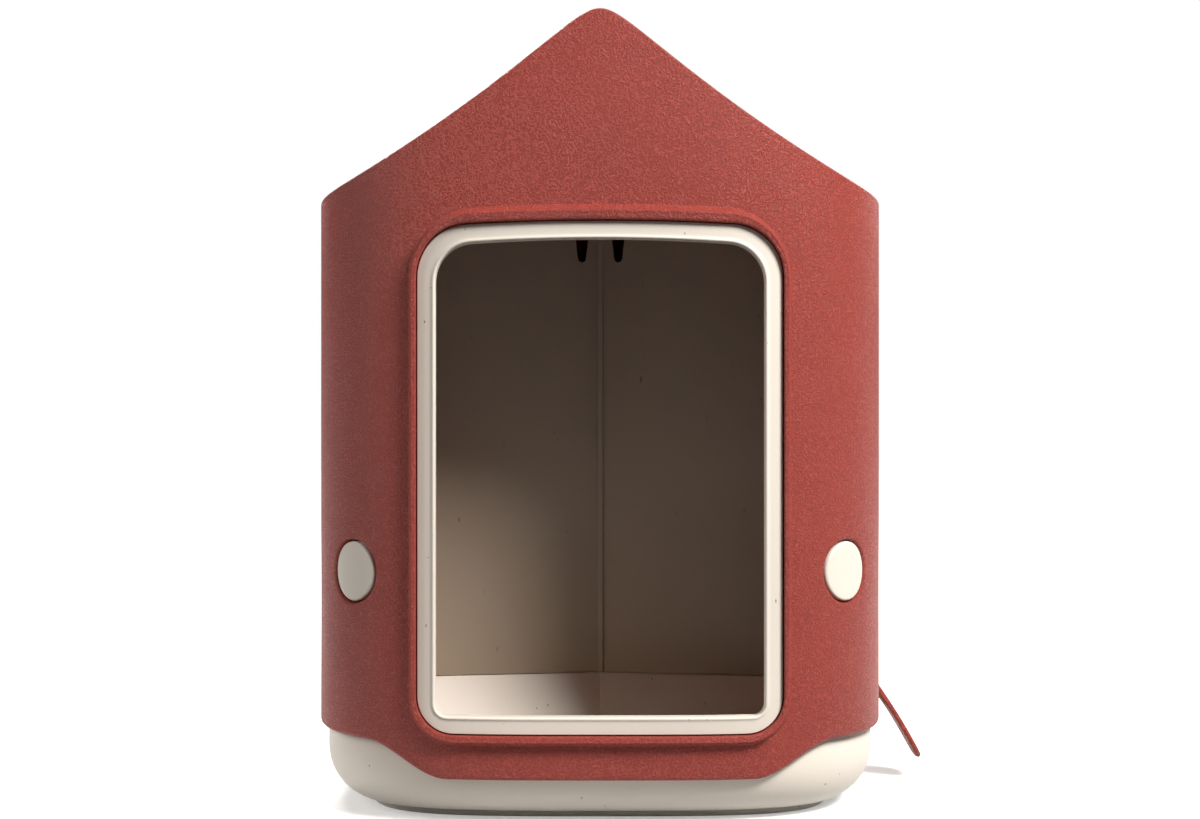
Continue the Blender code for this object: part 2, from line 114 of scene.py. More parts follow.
class CoverSettings(PropertyGroup):
    wall: FloatProperty(name="Wall", description="Thickness of the cover", default=0.0026, unit="LENGTH")
    hem: FloatProperty(name="Hem height", description="Height of the lower edge", default=0.0287, unit="LENGTH")
    dip: FloatProperty(name="Dip height", description="Lower edge under the window", default=0.0162, unit="LENGTH")
    dip_half_width: FloatProperty(name="Dip", description="Half width of the dip", default=0.0540, unit="LENGTH")
    rise_half_width: FloatProperty(name="Rise", description="Where the dip ends", default=0.0840, unit="LENGTH")
    edge_radius: FloatProperty(name="Roof edge", description="Radius along the roof", default=0.0011, unit="LENGTH")
    lip_radius: FloatProperty(name="Lip radius", description="Radius of raised rims", default=0.0013, unit="LENGTH")
    proud: FloatProperty(name="Rim height", description="How far rims stand out", default=0.0030, unit="LENGTH")
    rim_half_width: FloatProperty(name="Rim", description="Half width of the window rim", default=0.0673)
    rim_bottom: FloatProperty(name="Rim bottom", description="Lower side of the rim", default=0.0281, unit="LENGTH")
    rim_top: FloatProperty(name="Rim top", description="Upper side of the rim", default=0.2150, unit="LENGTH")
    rim_band: FloatProperty(name="Rim band", description="Width of the rim's sides", default=0.0028, unit="LENGTH")
    sill_band: FloatProperty(name="Sill band", description="Width of its lower side", default=0.0039, unit="LENGTH")
    head_band: FloatProperty(name="Head band", description="Width of its upper side", default=0.0055, unit="LENGTH")
    rim_low_radius: FloatProperty(name="Low corners", description="Lower corner radius", default=0.0160)
    rim_high_radius: FloatProperty(name="High corners", description="Upper corner radius", default=0.0230)
    rim_arch: FloatProperty(name="Rim arch", description="Rise of the upper side", default=0.0022)
    collar_radius: FloatProperty(name="Collar", description="Entrance collar outside", default=0.0365)
    collar_foot: FloatProperty(name="Collar foot", description="Flare round the collar", default=0.0011)
    collar_inner: FloatProperty(name="Collar inside", description="Entrance collar inside", default=0.03165)
    grain_scale: FloatProperty(name="Grain scale", description="Grains per metre", default=1450)
    grain_depth: FloatProperty(name="Grain depth", description="Grain's relief", default=0.00036, unit="LENGTH")
    colour: FloatVectorProperty(
        name="Colour", description="Brick red", subtype="COLOR", size=3, default=(0.335, 0.043, 0.029)
    )


class InnerSettings(PropertyGroup):
    wall: FloatProperty(name="Wall", description="Thickness of inner walls", default=0.0024, unit="LENGTH")
    lip_radius: FloatProperty(name="Lip radius", description="Radius of openings", default=0.0011, unit="LENGTH")
    frame_play: FloatProperty(name="Play", description="Gap round the frame", default=0.0004, unit="LENGTH")
    frame_proud: FloatProperty(name="Frame height", description="Window frame above the cover", default=0.0010)
    plate_drop: FloatProperty(name="Plate drop", description="Entrance plate below the cover", default=0.0015)
    frame_band: FloatProperty(name="Frame", description="Width of the window frame", default=0.0096, unit="LENGTH")
    window_bottom: FloatProperty(name="Window bottom", description="Lower side", default=0.0385, unit="LENGTH")
    window_top: FloatProperty(name="Window top", description="Upper side", default=0.2027, unit="LENGTH")
    window_arch: FloatProperty(name="Window arch", description="Rise of the upper side", default=0.0023)
    window_low_radius: FloatProperty(name="Low corners", description="Lower corner radius", default=0.0040)
    window_high_radius: FloatProperty(name="High corners", description="Upper corner radius", default=0.0125)
    entrance_radius: FloatProperty(name="Entrance", description="Radius of the entrance", default=0.0160)
    entrance_height: FloatProperty(name="Entrance height", description="Its middle", default=0.1760, unit="LENGTH")
    tray_round: FloatProperty(name="Tray round", description="Height of the tray's round foot", default=0.0177)
    button_height: FloatProperty(name="Button height", description="Middle of the buttons", default=0.0878)
    button_radius: FloatProperty(name="Button radius", description="Radius of a button", default=0.01065)
    button_hole: FloatProperty(name="Button hole", description="Radius of its hole", default=0.0113)
    button_recess: FloatProperty(name="Button recess", description="How far it lies in", default=0.0002)
    button_depth: FloatProperty(name="Button depth", description="Depth of its cap", default=0.0058, unit="LENGTH")
    speck_scale: FloatProperty(name="Speck scale", description="Speck cells per metre", default=210)
    colour: FloatVectorProperty(
        name="Colour", description="Off-white", subtype="COLOR", size=3, default=(0.840, 0.775, 0.690)
    )
    # Darker, warmer off-white that paints shade on the partition, its rails and the button sockets
    painted_shade_colour: FloatVectorProperty(
        name="Inside colour", description="Partition", subtype="COLOR", size=3, default=(0.345, 0.275, 0.205)
    )
    speck_colour: FloatVectorProperty(
        name="Speck colour", description="Brown fibre", subtype="COLOR", size=3, default=(0.240, 0.150, 0.085)
    )


class StageSettings(PropertyGroup):
    camera_distance: FloatProperty(name="Camera distance", description="To the front", default=0.688, unit="LENGTH")
    camera_height: FloatProperty(name="Camera height", description="Above the floor", default=0.1456, unit="LENGTH")
    key_side: FloatProperty(name="Key side", description="Degrees right of the window", default=48)
    key_rise: FloatProperty(name="Key rise", description="Degrees above level", default=40)
    key_power: FloatProperty(name="Key power", description="Main lamp", default=27.5, unit="POWER")
    fill_power: FloatProperty(name="Fill power", description="Lamp at the left", default=7.2, unit="POWER")
    nest_power: FloatProperty(name="Nest power", description="Lamp of the nest side", default=17.0, unit="POWER")
    sky_strength: FloatProperty(name="Sky strength", description="Even light from all round", default=0.03)
    floor_glow: FloatProperty(name="Floor glow", description="Light added to the seen floor", default=0.35)
    floor_bounce: FloatProperty(name="Floor bounce", description="Light thrown back near the feet", default=0.5)
    fade_start: FloatProperty(name="Fade start", description="Where the floor starts to turn white", default=0.30)
    fade_end: FloatProperty(name="Fade end", description="Where the floor is white", default=0.80)
    floor_colour: FloatVectorProperty(
        name="Floor colour", description="Pale floor", subtype="COLOR", size=3, default=(0.90, 0.90, 0.90)
    )


# Shapes that follow the plan


def roof_height(x):
    run = roof_half_span - math.hypot(x, ridge_round)
    rise = run * (roof_pitch_share + roof_curve_share * run / roof_half_span)
    return eaves_height + (rise + math.hypot(rise, eaves_round)) / 2


def roof_stretch(x):
    """How much longer the roof's thickness is upright than square to its slope."""
    step = 0.0005
    slope = (roof_height(x + step) - roof_height(x - step)) / (2 * step)
    return math.hypot(1, slope)


def plan_slope(value, half_size):
    return math.copysign((abs(value) / half_size) ** (plan_exponent - 1) / half_size, value)


def plan_point(column, inset):
    """Point on the body's plan at one of its columns, moved inwards along its normal."""
    angle = math.tau * ((column % plan_columns) / plan_columns)
    across, along = math.cos(angle), math.sin(angle)
    total = abs(across / half_width) ** plan_exponent + abs(along / half_depth) ** plan_exponent
    x = across * total ** (-1 / plan_exponent)
    y = along * total ** (-1 / plan_exponent)
    normal = Vector((plan_slope(x, half_width), plan_slope(y, half_depth))).normalized()
    return x - inset * normal.x, y - inset * normal.y


def quarter_turn(steps):
    """Angles from 0 to a right angle."""
    return [math.pi / 2 * step / steps for step in range(steps + 1)]


class Patch:
    """Part of the cover's outside, seen along one level direction."""

    def __init__(self, outward, lateral, height):
        self.outward = Vector(outward).normalized()
        self.tangent = Vector((-self.outward.y, self.outward.x))
        self.lateral = lateral
        self.height = height

    def reach(self, across):
        """Distance from the middle of the house to its outside, along the patch's direction."""
        low, high = 0.0, half_width + half_depth
        for _ in range(halvings):
            middle = (low + high) / 2
            place = self.tangent * (self.lateral + across) + self.outward * middle
            total = abs(place.x / half_width) ** plan_exponent + abs(place.y / half_depth) ** plan_exponent
            low, high = (middle, high) if total < 1 else (low, middle)
        return middle

    def point(self, across, up, lift):
        place = self.tangent * (self.lateral + across) + self.outward * (self.reach(across) + lift)
        return Vector((place.x, place.y, self.height + up))


front = Patch((0, -1), 0, 0)
back = Patch((0, 1), 0, 0)


def corner_patch(right, rear, height):
    """Patch at a corner, where the outside faces halfway between X and Y."""
    ratio = (half_depth / half_width) ** (plan_exponent / (plan_exponent - 1))
    total = half_width ** -plan_exponent + (ratio / half_depth) ** plan_exponent
    x = total ** (-1 / plan_exponent)
    patch = Patch((right, rear), 0, height)
    patch.lateral = Vector((right * x, rear * x * ratio)).dot(patch.tangent)
    return patch


def button_patches(inner):
    """Names and patches of the four corners, at the buttons' height."""
    return [(corner_name(*corner), corner_patch(*corner, inner.button_height)) for corner in corners]


def rounded_outline(half, low, high, low_radius, high_radius, arch=0.0, arc_steps=12, side_steps=16):
    """Points round an upright rounded rectangle, with the same count for any size."""
    spots = [
        (half - low_radius, low + low_radius, low_radius, -math.pi / 2),
        (half - high_radius, high - high_radius, high_radius, 0),
        (high_radius - half, high - high_radius, high_radius, math.pi / 2),
        (low_radius - half, low + low_radius, low_radius, math.pi),
    ]
    points = []
    for index, (x, z, radius, start) in enumerate(spots):
        for step in range(arc_steps + 1):
            angle = start + math.pi / 2 * step / arc_steps
            points.append((x + radius * math.cos(angle), z + radius * math.sin(angle)))
        turned = start + math.pi / 2
        next_x, next_z, next_radius, _ = spots[(index + 1) % 4]
        end_x = next_x + next_radius * math.cos(turned)
        end_z = next_z + next_radius * math.sin(turned)
        from_x, from_z = points[-1]
        for step in range(1, side_steps):
            share = step / side_steps
            points.append((from_x + (end_x - from_x) * share, from_z + (end_z - from_z) * share))
    middle = (low + high) / 2
    return [(x, z + arch * (1 - (x / half) ** 2) if z > middle else z) for x, z in points]


def rim_outline(cover, share, play=0.0):
    """Outline of the window rim, from its outside at 0 to its inside at 1, moved inwards by the play."""
    return rounded_outline(
        cover.rim_half_width - cover.rim_band * share - play,
        cover.rim_bottom + cover.sill_band * share + play,
        cover.rim_top - cover.head_band * share - play,
        cover.rim_low_radius - cover.rim_band * share - play,
        cover.rim_high_radius - cover.head_band * share - play,
        cover.rim_arch,
    )


def circle_outline(radius, height, count=circle_points):
    angles = [math.tau * step / count for step in range(count)]
    return [(radius * math.cos(angle), height + radius * math.sin(angle)) for angle in angles]


# Modelling steps


def deselect():
    if bpy.context.object and bpy.context.object.mode != "OBJECT":
        bpy.ops.object.mode_set(mode="OBJECT")
    bpy.ops.object.select_all(action="DESELECT")


def make_active(piece):
    deselect()
    piece.select_set(True)
    bpy.context.view_layer.objects.active = piece


def tidy_mesh(piece):
    """Welds the seams and poles and turns the faces outwards."""
    make_active(piece)
    bpy.ops.object.mode_set(mode="EDIT")
    bpy.ops.mesh.select_all(action="SELECT")
    bpy.ops.mesh.remove_doubles(threshold=weld_distance)
    bpy.ops.mesh.dissolve_degenerate(threshold=weld_distance / 10)
    bpy.ops.mesh.normals_make_consistent(inside=False)
    bpy.ops.object.mode_set(mode="OBJECT")


def wrapped_grid(name, columns, rows, place):
    """Grid whose points are laid on a surface by column and row."""
    deselect()
    bpy.ops.mesh.primitive_grid_add(x_subdivisions=columns, y_subdivisions=rows, size=2)
    piece = bpy.context.object
    piece.name = name
    for vertex in piece.data.vertices:
        column = round((vertex.co.x + 1) / 2 * columns)
        row = round((vertex.co.y + 1) / 2 * rows)
        vertex.co = place(column, row)
    tidy_mesh(piece)
    return piece


def swept_ring(name, patch, outer, inner, section):
    """Closed band between two matching outlines, with a section of (share inwards, lift) points."""
    count = len(outer)

    def place(column, row):
        outer_point, inner_point = outer[column % count], inner[column % count]
        share, lift = section[row % len(section)]
        across = outer_point[0] + (inner_point[0] - outer_point[0]) * share
        up = outer_point[1] + (inner_point[1] - outer_point[1]) * share
        return patch.point(across, up, lift)

    return wrapped_grid(name, count, len(section), place)


def plan_body(name, profile, low, high):
    """Closed body round the plan: flat below and above, with an (inset, height) profile between."""
    rows = len(profile) + 1

    def place(column, row):
        if row in (0, rows):
            return Vector((0, 0, high if row else low))
        inset, height = profile[row - 1]
        return Vector((*plan_point(column, inset), height))

    return wrapped_grid(name, plan_columns, rows, place)


def lip_section(cover):
    """Edge of a button hole: level outside, then a quarter round down into the hole."""
    arc = [(math.sin(angle), -cover.lip_radius * (1 - math.cos(angle))) for angle in quarter_turn(lip_steps)]
    return [(0, -cover.wall), (0, 0), *arc, (1, -cover.wall)]


def apply_modifier(piece, modifier):
    make_active(piece)
    bpy.ops.object.modifier_apply(modifier=modifier.name)


def thicken(piece, wall):
    """Gives a shell its wall, grown inwards."""
    step = piece.modifiers.new("Wall", "SOLIDIFY")
    step.thickness = wall
    step.offset = -1
    step.use_even_offset = True
    apply_modifier(piece, step)


def cut(piece, cutter):
    step = piece.modifiers.new("Cut", "BOOLEAN")
    step.operation = "DIFFERENCE"
    step.solver = "EXACT"
    step.object = cutter
    apply_modifier(piece, step)
    bpy.data.objects.remove(cutter, do_unlink=True)


def outline_cutter(points, near, far):
    """Block along Y with the outline's shape."""
    deselect()
    bpy.ops.mesh.primitive_circle_add(vertices=len(points), fill_type="NGON")
    cutter = bpy.context.object
    for vertex, (x, z) in zip(cutter.data.vertices, points):
        vertex.co = (x, near, z)
    bpy.ops.object.mode_set(mode="EDIT")
    bpy.ops.mesh.select_all(action="SELECT")
    bpy.ops.mesh.extrude_region_move(TRANSFORM_OT_translate={"value": (0, far - near, 0)})
    bpy.ops.mesh.select_all(action="SELECT")
    bpy.ops.mesh.normals_make_consistent(inside=False)
    bpy.ops.object.mode_set(mode="OBJECT")
    return cutter


def corner_cutter(patch, radius, depth):
    """Round block along a button's axis."""
    deselect()
    middle = patch.point(0, 0, 0)
    outward = Vector((patch.outward.x, patch.outward.y, 0))
    bpy.ops.mesh.primitive_cylinder_add(
        vertices=circle_points,
        radius=radius,
        depth=depth,
        location=middle,
        rotation=outward.to_track_quat("Z", "Y").to_euler(),
    )
    return bpy.context.object


def finish_piece(piece, body, slot_name, smooth_angle, *replaced):
    """Shades a piece, gives it its slot's material and ties it to its body."""
    make_active(piece)
    bpy.ops.object.transform_apply(location=True, rotation=True, scale=True)
    bpy.ops.object.shade_smooth_by_angle(angle=math.radians(smooth_angle))
    piece.data.materials.clear()
    piece.data.materials.append(find_material(slot_name))
    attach(piece, body)
    if replaced:
        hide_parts(*replaced)
    return piece


# Materials

# Red cover grain: ridges painted lighter as highlight, ground painted darker as shade
ground_shade_tone = 0.82
ridge_highlight_tone = 1.45
cloud_tone = 1.12
pale_cloud_tone = 0.96
satin_scale = 420
satin_depth = 0.00002
turning_scale = 2500


def node_group(name, scale, outputs):
    """Group that reads a place and a scale and gives the named numbers."""
    group = bpy.data.node_groups.new(name, "ShaderNodeTree")
    group.interface.new_socket(name="Vector", in_out="INPUT", socket_type="NodeSocketVector")
    size = group.interface.new_socket(name="Scale", in_out="INPUT", socket_type="NodeSocketFloat")
    size.default_value = scale
    for output in outputs:
        group.interface.new_socket(name=output, in_out="OUTPUT", socket_type="NodeSocketFloat")
    return group, group.nodes.new("NodeGroupInput"), group.nodes.new("NodeGroupOutput")


def feed(tree, node, sockets):
    """Links a node's inputs or sets their constants, by name or number."""
    for key, value in sockets.items():
        if isinstance(value, bpy.types.NodeSocket):
            tree.links.new(value, node.inputs[key])
        else:
            node.inputs[key].default_value = value


def add_math(tree, operation, first, second):
    node = tree.nodes.new("ShaderNodeMath")
    node.operation = operation
    feed(tree, node, {0: first, 1: second})
    return node.outputs[0]


def add_range(tree, value, low, high, to_low, to_high):
    node = tree.nodes.new("ShaderNodeMapRange")
    node.interpolation_type = "SMOOTHSTEP"
    feed(tree, node, {"Value": value, "From Min": low, "From Max": high, "To Min": to_low, "To Max": to_high})
    return node.outputs["Result"]


def add_mix(tree, share, first, second):
    node = tree.nodes.new("ShaderNodeMix")
    node.data_type = "RGBA"
    ends = [end if isinstance(end, bpy.types.NodeSocket) else (*end, 1) for end in (first, second)]
    feed(tree, node, {0: share, 6: ends[0], 7: ends[1]})
    return node.outputs[2]


def noise(tree, vector, scale, detail, roughness=0.5):
    node = tree.nodes.new("ShaderNodeTexNoise")
    feed(tree, node, {"Vector": vector, "Scale": scale, "Detail": detail, "Roughness": roughness})
    return node.outputs["Fac"]


def grain_group():
    """Moulded leather grain: thin winding ridges on a lower ground, with a slow variation."""
    group, start, end = node_group("Moulded grain", 1000, ("Height", "Ridge", "Cloud"))
    scaled = group.nodes.new("ShaderNodeVectorMath")
    scaled.operation = "SCALE"
    feed(group, scaled, {0: start.outputs["Vector"], "Scale": start.outputs["Scale"]})
    vector = scaled.outputs["Vector"]
    coarse = noise(group, vector, scale=0.55, detail=2, roughness=0.6)
    fine = noise(group, vector, scale=2.4, detail=2)
    away = add_math(group, "ABSOLUTE", add_math(group, "SUBTRACT", coarse, 0.5), 0)
    ridges = add_range(group, away, 0.0, 0.09, 1, 0)
    parts = [add_math(group, "MULTIPLY", part, share) for part, share in ((ridges, 0.85), (fine, 0.15))]
    cloud = noise(group, vector, scale=0.03, detail=3)
    feed(group, end, {"Height": add_math(group, "ADD", *parts), "Ridge": ridges, "Cloud": cloud})
    return group


def fibre_group():
    """Brown plant fibres scattered in pale plastic: most are dots, some are short slivers."""
    group, start, end = node_group("Fibre specks", 150, ["Mask"])
    masks = []
    for turn, stretch, size, share in ((0.4, 0.35, 0.110, 0.42), (1.5, 0.55, 0.090, 0.50), (2.6, 1.0, 0.075, 0.6)):
        mapping = group.nodes.new("ShaderNodeMapping")
        feed(group, mapping, {
            "Vector": start.outputs["Vector"],
            "Location": (turn, turn * 2, turn * 3),
            "Rotation": (turn, turn * 1.7, turn * 0.6),
            "Scale": (1, 1, stretch),
        })
        cells = group.nodes.new("ShaderNodeTexVoronoi")
        feed(group, cells, {"Vector": mapping.outputs["Vector"], "Scale": start.outputs["Scale"]})
        split = group.nodes.new("ShaderNodeSeparateColor")
        feed(group, split, {"Color": cells.outputs["Color"]})
        chosen = add_math(group, "LESS_THAN", split.outputs[0], share)
        reach = add_math(group, "MULTIPLY", split.outputs[1], size)
        near = add_math(group, "SUBTRACT", reach, cells.outputs["Distance"])
        strength = add_math(group, "MULTIPLY", add_range(group, near, 0, 0.012, 0, 1), chosen)
        masks.append(add_math(group, "MULTIPLY", strength, add_math(group, "ADD", split.outputs[2], 0.15)))
    total = add_math(group, "MAXIMUM", add_math(group, "MAXIMUM", masks[0], masks[1]), masks[2])
    feed(group, end, {"Mask": add_math(group, "MINIMUM", total, 1)})
    return group


def use_group(tree, group, scale):
    """Places a group that reads the piece's own coordinates."""
    place = tree.nodes.new("ShaderNodeTexCoord")
    node = tree.nodes.new("ShaderNodeGroup")
    node.node_tree = group
    feed(tree, node, {"Vector": place.outputs["Object"], "Scale": scale})
    return node


def add_bump(tree, height, distance, strength):
    bump = tree.nodes.new("ShaderNodeBump")
    feed(tree, bump, {"Height": height, "Distance": distance, "Strength": strength})
    return bump.outputs["Normal"]


def new_material(name):
    """Material with its node tree and its surface node."""
    shader = bpy.data.materials.new(name)
    shader.use_nodes = True
    return shader, shader.node_tree, shader.node_tree.nodes["Principled BSDF"]


def scaled_colour(colour, factor):
    return tuple(min(1, value * factor) for value in colour)


def cover_material(settings, grain):
    """Brick-red moulded plastic with a fine leather grain; its ridges get a painted highlight and its ground
    painted shade.
    """
    _, tree, surface = new_material(finish_names["cover_plastic"])
    texture = use_group(tree, grain, settings.grain_scale)
    height, ridge = texture.outputs["Height"], texture.outputs["Ridge"]
    low, high, pale = (scaled_colour(settings.colour, tone) for tone in (ground_shade_tone, ridge_highlight_tone, cloud_tone))
    # Painted highlight on the grain's ridges and painted shade on its ground, mixed by the ridge mask
    tint = add_mix(tree, add_range(tree, ridge, 0, 1, 0, 0.9), low, high)
    feed(tree, surface, {
        "Base Color": add_mix(tree, add_range(tree, texture.outputs["Cloud"], 0.3, 0.7, 0, 0.35), tint, pale),
        "Specular IOR Level": 0.48,
        "Roughness": add_range(tree, ridge, 0, 1, 0.60, 0.40),
        "Normal": add_bump(tree, height, settings.grain_depth, 1.0),
    })


def inner_material(name, colour, settings, grain, fibres):
    """Fibre-filled plastic, satin, with brown specks."""
    _, tree, surface = new_material(name)
    texture = use_group(tree, grain, satin_scale)
    height, cloud = texture.outputs["Height"], texture.outputs["Cloud"]
    specks = use_group(tree, fibres, settings.speck_scale)
    pale = scaled_colour(colour, pale_cloud_tone)
    tint = add_mix(tree, add_range(tree, cloud, 0.3, 0.7, 0, 0.5), colour, pale)
    feed(tree, surface, {
        "Base Color": add_mix(tree, specks.outputs["Mask"], tint, settings.speck_colour),
        "Roughness": add_range(tree, cloud, 0.3, 0.7, 0.40, 0.50),
        "Normal": add_bump(tree, height, satin_depth, 0.5),
    })


def screw_material(grain):
    """Plain steel with fine turning marks."""
    _, tree, surface = new_material(finish_names["screw_steel"])
    texture = use_group(tree, grain, turning_scale)
    feed(tree, surface, {
        "Metallic": 1,
        "Base Color": add_mix(tree, texture.outputs["Cloud"], (0.42, 0.42, 0.43), (0.58, 0.58, 0.58)),
        "Roughness": add_range(tree, texture.outputs["Height"], 0, 1, 0.28, 0.42),
    })


def find_material(slot_name):
    """Makes the finishes once and returns the one for a material slot or for the inside's painted-shade copy."""
    name = finish_names[slot_name]
    if name not in bpy.data.materials:
        scene = bpy.context.scene
        grain = grain_group()
        cover_material(scene.birdhouse_cover, grain)
        inner = scene.birdhouse_inner
        fibres = fibre_group()
        inner_material(finish_names["inner_plastic"], inner.colour, inner, grain, fibres)
        # Painted-shade copy of the off-white plastic
        inner_material(finish_names["inside"], inner.painted_shade_colour, inner, grain, fibres)
        screw_material(grain)
    return bpy.data.materials[name]


# Operators


class PieceOperator(Operator):
    """Shared settings of the operators that make pieces."""

    bl_idname = "birdhouse.piece"
    bl_label = "Birdhouse piece"
    bl_options = {"REGISTER", "UNDO"}


def hem_height(settings, x, y):
    """Height of the cover's lower edge, which dips under the window."""
    if y > 0:
        return settings.hem
    share = (abs(x) - settings.dip_half_width) / (settings.rise_half_width - settings.dip_half_width)
    share = min(1, max(0, share))
    return settings.dip + (settings.hem - settings.dip) * share * share * (3 - 2 * share)


class BIRDHOUSE_OT_cover(PieceOperator):
    """Makes the cover's shell, its window rim, its entrance collar and its button lips"""

    bl_idname = "birdhouse.cover"
    bl_label = "Cover"

    wall_rows = 6
    edge_rows = 5
    hem_rows = 3
    roof_rows = 8
    collar_points = 144

    # Shares of the crest's distance and height; the foot starts a hair under the skin
    foot_curve = ((0, -0.00156), (0, 0), (0.10, 0.04), (0.24, 0.15), (0.40, 0.33), (0.56, 0.53))
    crest_curve = ((0.72, 0.74), (0.84, 0.89), (0.93, 0.97), (1, 1))
    fall_shares = (0.12, 0.3, 0.5, 0.75)
    rim_form = {"crest": 0.46, "fall": 0.08, "radius": 0.0008}
    collar_form = {"crest": 0.42, "fall": 0.28, "radius": 0.0006}

    def execute(self, context):
        cover = context.scene.birdhouse_cover
        inner = context.scene.birdhouse_inner
        shell = self.shell(cover)
        cut(shell, outline_cutter(rim_outline(cover, 0.5), -half_depth * 2, 0))
        collar_middle = (cover.collar_radius + cover.collar_inner) / 2
        cut(shell, outline_cutter(circle_outline(collar_middle, inner.entrance_height), 0, half_depth * 2))
        lip = inner.button_hole + cover.lip_radius
        for _, patch in button_patches(inner):
            cut(shell, corner_cutter(patch, lip, half_depth / 3))
        finish_piece(shell, "house", "cover_plastic", usual_angle, "cover")

        section = self.crest_section(cover, cover.rim_band, **self.rim_form)
        rim = swept_ring("window_rim", front, rim_outline(cover, 0), rim_outline(cover, 1), section)
        finish_piece(rim, "house", "cover_plastic", usual_angle, "cover")
        collar_foot = cover.collar_radius + cover.collar_foot
        section = self.crest_section(cover, collar_foot - cover.collar_inner, **self.collar_form)
        ring_outer = circle_outline(collar_foot, inner.entrance_height, self.collar_points)
        ring_inner = circle_outline(cover.collar_inner, inner.entrance_height, self.collar_points)
        collar = swept_ring("entrance_collar", back, ring_outer, ring_inner, section)
        finish_piece(collar, "house", "cover_plastic", usual_angle, "cover")
        for name, patch in button_patches(inner):
            hole = circle_outline(inner.button_hole, 0)
            ring = swept_ring("button_lip_" + name, patch, circle_outline(lip, 0), hole, lip_section(cover))
            finish_piece(ring, "house", "cover_plastic", lip_angle, "cover")
        return {"FINISHED"}

    def crest_section(self, cover, band, crest, fall, radius):
        """Raised rim: flared foot, crest, face that falls inwards, and a round inner edge."""
        proud = cover.proud
        points = [(share * crest, proud * rise) for share, rise in self.foot_curve + self.crest_curve]
        end = 1 - radius / band
        low = proud * (1 - fall)
        for share in self.fall_shares:
            points.append((crest + (end - crest) * share, proud + (low - proud) * share))
        for angle in quarter_turn(round_steps):
            points.append((end + radius / band * math.sin(angle), low - radius * (1 - math.cos(angle))))
        return points + [(1, -cover.wall * 0.4), (1, -cover.wall), (0.7, -cover.wall)]

    def shell(self, cover):
        """Closed skin: under the roof, down inside, round the hem, up outside and over the roof."""
        half_wall = cover.wall / 2
        rows = [(cover.wall, 1, 0, 1 - step / self.roof_rows) for step in range(self.roof_rows, 0, -1)]
        for step in range(self.wall_rows):
            rows.append((cover.wall, 1 - step / self.wall_rows, half_wall * step / self.wall_rows, 1))
        for step in range(self.hem_rows * 2 + 1):
            angle = math.pi * step / (self.hem_rows * 2)
            rows.append((half_wall * (1 + math.cos(angle)), 0, half_wall * (1 - math.sin(angle)), 1))
        edge = cover.edge_radius
        for step in range(1, self.wall_rows + 1):
            share = step / self.wall_rows
            rows.append((0, share, half_wall * (1 - share) - edge * share, 1))
        for angle in quarter_turn(self.edge_rows)[1:]:
            rows.append((edge * (1 - math.cos(angle)), 1, -edge * (1 - math.sin(angle)), 1))
        rows += [(edge, 1, 0, 1 - step / self.roof_rows) for step in range(1, self.roof_rows + 1)]
        inner_rows = self.roof_rows + self.wall_rows

        def place(column, row):
            inset, share, lift, spread = rows[row]
            x, y = plan_point(column, inset)
            low = hem_height(cover, x, y)
            if row < inner_rows:
                high = roof_height(x) - cover.wall * roof_stretch(x)
            else:
                high = roof_height(plan_point(column, edge)[0])
            return Vector((x, y * spread, low + (high - low) * share + lift))

        return wrapped_grid("cover_shell", plan_columns, len(rows) - 1, place)


class BIRDHOUSE_OT_tab(PieceOperator):
    """Makes the pull tab: a thin curved tongue with a round end"""

    bl_idname = "birdhouse.tab"
    bl_label = "Pull tab"

    columns = 40
    rows = 24
    half = 0.0100
    corner = 0.0060
    thickness = 0.0012
    root_swell = 0.0022
    root_height = 0.0395
    bend_reach = 0.0065
    bend_height = 0.0330
    tip_height = 0.0076
    side_power = 0.35
    face_power = 0.6

    def execute(self, context):
        cover = context.scene.birdhouse_cover
        root = Vector((half_width - cover.wall / 2, self.root_height))
        bend = Vector((half_width + self.bend_reach, self.bend_height))
        tip = Vector((cover_high.x - self.thickness / 2, self.tip_height))

        def place(column, row):
            share = column / self.columns
            middle = root.lerp(bend, share).lerp(bend.lerp(tip, share), share)
            along = ((bend - root) * (1 - share) + (tip - bend) * share).normalized()
            side = Vector((-along.y, along.x))
            left = (tip - root).length * (1 - share)
            width = self.half
            if left < self.corner:
                width -= self.corner - math.sqrt(max(0, self.corner**2 - (self.corner - left) ** 2))
            angle = math.tau * row / self.rows
            across, lift = math.cos(angle), math.sin(angle)
            across = math.copysign(abs(across) ** self.side_power, across) * width
            lift = math.copysign(abs(lift) ** self.face_power, lift)
            lift *= self.thickness + self.root_swell * (1 - share) ** 6
            if left < self.thickness:
                lift *= math.sqrt(max(0, 1 - (1 - left / self.thickness) ** 2))
            spot = middle + side * lift
            return Vector((spot.x, across, spot.y))

        tab = wrapped_grid("pull_tab", self.columns, self.rows, place)
        make_active(tab)
        bpy.ops.object.mode_set(mode="EDIT")
        bpy.ops.mesh.select_all(action="DESELECT")
        bpy.ops.mesh.select_non_manifold()
        bpy.ops.mesh.edge_face_add()
        bpy.ops.object.mode_set(mode="OBJECT")
        tidy_mesh(tab)
        finish_piece(tab, "house", "cover_plastic", tab_angle, "cover")
        return {"FINISHED"}


